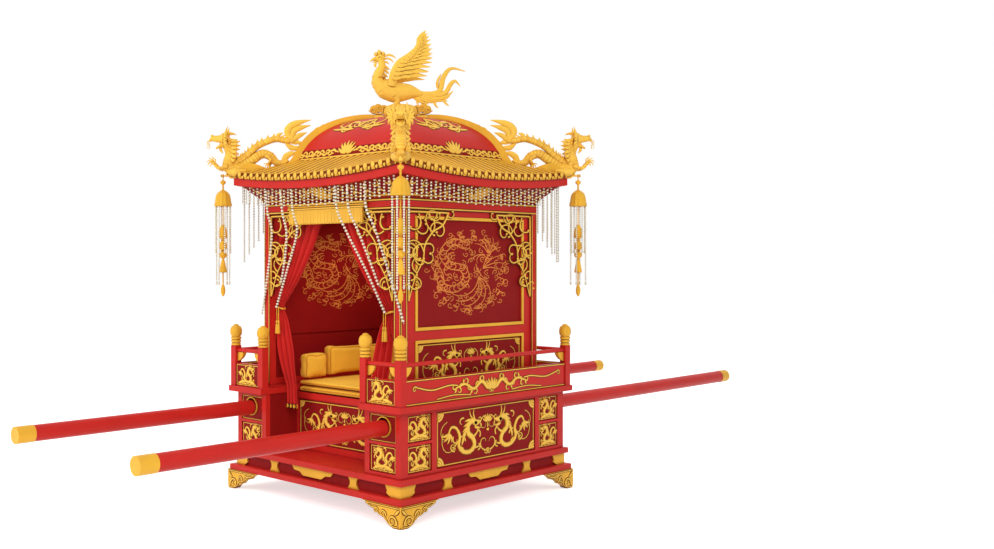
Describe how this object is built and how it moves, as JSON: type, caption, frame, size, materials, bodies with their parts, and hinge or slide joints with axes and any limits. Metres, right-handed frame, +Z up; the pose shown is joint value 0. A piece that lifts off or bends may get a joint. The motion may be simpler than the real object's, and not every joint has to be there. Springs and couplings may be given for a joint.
{
  "type": "palanquin",
  "caption": "Red lacquered bridal sedan chair with a gilt tiled roof, dome, dragon hips, phoenix crown, curtains, railing, cushions and carrying poles",
  "frame": {"origin": "on the floor under the middle of the carrying poles, between them", "axes": "+Z up, +Y along the poles towards the rear, +X to the chair's own left when facing the front (-Y), the viewer's right from the front"},
  "size_m": [1.5768, 4.795, 2.582],
  "materials": {
    "red_lacquer": "glossy red lacquer",
    "dark_lacquer": "satin dark red lacquer",
    "gilt": "gilded carving",
    "yellow_silk": "satin",
    "red_silk": "satin",
    "pearl_bead": "glossy"
  },
  "bodies": {
    "chair": {"arm_cushions": "yellow_silk", "back_cushion": "yellow_silk", "bead_fringe": "pearl_bead", "cabin_posts": "red_lacquer", "ceiling": "dark_lacquer", "cove": "dark_lacquer", "crown_base": "gilt", "curtain_left": "red_silk", "curtain_right": "red_silk", "dome": "red_lacquer", "dragons": "gilt", "eave_fascia": "red_lacquer", "feet": "gilt", "floor": "red_lacquer", "front_face_left": "red_lacquer", "front_face_right": "red_lacquer", "hand_rails": "red_lacquer", "head_frame": "red_lacquer", "hip_ridges": "gilt", "inner_wall_left": "dark_lacquer", "inner_wall_right": "dark_lacquer", "ledge_left": "red_lacquer", "ledge_rear": "red_lacquer", "ledge_right": "red_lacquer", "pelmet": "gilt", "phoenix": "gilt", "plinth": "red_lacquer", "pole_rings": "gilt", "rail_board_left": "red_lacquer", "rail_board_rear": "red_lacquer", "rail_board_right": "red_lacquer", "rail_brackets": "gilt", "rail_finials": "gilt", "rail_front_panels": "red_lacquer", "rail_posts": "red_lacquer", "rear_panel": "red_lacquer", "seat_cushions": "yellow_silk", "seat_deck": "red_lacquer", "seat_front": "red_lacquer", "side_panel_left": "red_lacquer", "side_panel_right": "red_lacquer", "spandrels": "gilt", "tiles_front": "gilt", "tiles_left": "gilt", "tiles_rear": "gilt", "tiles_right": "gilt", "waist": "dark_lacquer", "waist_trim": "gilt", "wall_frames": "gilt", "wall_left": "red_lacquer", "wall_rear": "red_lacquer", "wall_right": "red_lacquer"},
    "pole_left": {"pole_left": "red_lacquer", "pole_caps_left": "gilt"},
    "pole_right": {"pole_right": "red_lacquer", "pole_caps_right": "gilt"},
    "pendant_front_left": {"pendant_front_left": "gilt"},
    "pendant_front_right": {"pendant_front_right": "gilt"},
    "pendant_rear_left": {"pendant_rear_left": "gilt"},
    "pendant_rear_right": {"pendant_rear_right": "gilt"}
  },
  "joints": [
    {"name": "pole_left_slide", "type": "slide", "parent": "chair", "child": "pole_left", "axis": [0, -1, 0], "range_m": [-1.25, 1.95]},
    {"name": "pole_right_slide", "type": "slide", "parent": "chair", "child": "pole_right", "axis": [0, -1, 0], "range_m": [-1.25, 1.95]},
    {"name": "pendant_front_left_swing", "type": "hinge", "parent": "chair", "child": "pendant_front_left", "pos_m": [-0.71813, -1.07063, 1.7793], "axis": [-0.7071, -0.7071, 0], "range_deg": [-20, 20]},
    {"name": "pendant_front_right_swing", "type": "hinge", "parent": "chair", "child": "pendant_front_right", "pos_m": [0.71813, -1.07063, 1.7793], "axis": [0.7071, -0.7071, 0], "range_deg": [-20, 20]},
    {"name": "pendant_rear_left_swing", "type": "hinge", "parent": "chair", "child": "pendant_rear_left", "pos_m": [-0.71813, 0.36563, 1.7793], "axis": [-0.7071, 0.7071, 0], "range_deg": [-20, 20]},
    {"name": "pendant_rear_right_swing", "type": "hinge", "parent": "chair", "child": "pendant_rear_right", "pos_m": [0.71813, 0.36563, 1.7793], "axis": [0.7071, 0.7071, 0], "range_deg": [-20, 20]}
  ]
}
